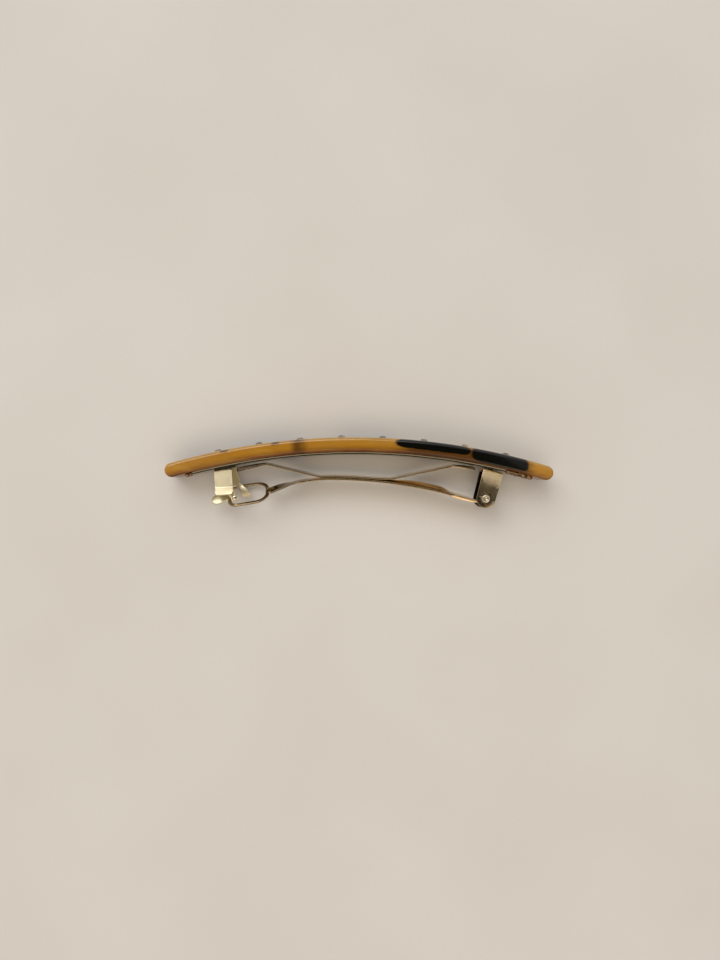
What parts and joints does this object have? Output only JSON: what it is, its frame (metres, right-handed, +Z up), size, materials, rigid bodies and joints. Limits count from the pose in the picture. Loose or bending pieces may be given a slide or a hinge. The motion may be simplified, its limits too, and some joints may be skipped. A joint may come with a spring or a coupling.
{
  "type": "barrette",
  "caption": "Curved tortoiseshell acetate barrette with clear crystals along its crown and a plated steel spring clip.",
  "frame": {"origin": "bottom centre of the bounding box, with the barrette lying on one long edge of the bar", "axes": "+X along the bar towards the hinge, +Y out of the decorative face, +Z up across the bar's width"},
  "size_m": [0.0888, 0.0168, 0.01],
  "materials": {
    "acetate": "polished, translucent tortoiseshell",
    "crystal": "clear, faceted",
    "adhesive": "glossy amber resin",
    "plated_steel": "bright pale gold plating",
    "spring_steel": "polished pale gold plating",
    "rivet_steel": "satin"
  },
  "bodies": {
    "clip": {"acetate_bar": "acetate", "crystal_1": "crystal", "crystal_2": "crystal", "crystal_3": "crystal", "crystal_4": "crystal", "crystal_5": "crystal", "crystal_6": "crystal", "crystal_7": "crystal", "crystal_8": "crystal", "adhesive_film": "adhesive", "glue_bead_left": "adhesive", "glue_bead_right": "adhesive", "base_plate": "plated_steel", "hinge_bracket": "plated_steel", "hinge_rivet": "rivet_steel", "hinge_pin": "rivet_steel", "catch_base": "plated_steel", "catch_rivet": "rivet_steel"},
    "arm": {"clasp_arm": "spring_steel", "clasp_loop": "spring_steel"},
    "near_prong": {"catch_prong_near": "spring_steel"},
    "far_prong": {"catch_prong_far": "spring_steel"},
    "bow": {"tension_bow": "spring_steel"}
  },
  "joints": [
    {"name": "arm_hinge", "type": "hinge", "parent": "clip", "child": "arm", "pos_m": [0.0292, -0.00595, 0.005], "axis": [0, 0, 1], "range_deg": [0, 120]},
    {"name": "near_prong_squeeze", "type": "hinge", "parent": "clip", "child": "near_prong", "pos_m": [-0.03084, 0.00031, 0.00715], "axis": [0.9784, 0.2068, 0], "range_deg": [0, 8], "stiffness_Nm_per_rad": 0.02},
    {"name": "far_prong_squeeze", "type": "hinge", "parent": "clip", "child": "far_prong", "pos_m": [-0.03084, 0.00031, 0.00285], "axis": [-0.9784, -0.2068, 0], "range_deg": [0, 8], "stiffness_Nm_per_rad": 0.02},
    {"name": "bow_press", "type": "slide", "parent": "clip", "child": "bow", "axis": [0, 1, 0], "range_m": [0, 0.003], "stiffness_N_per_m": 200, "deforming": ["tension_bow"]}
  ]
}
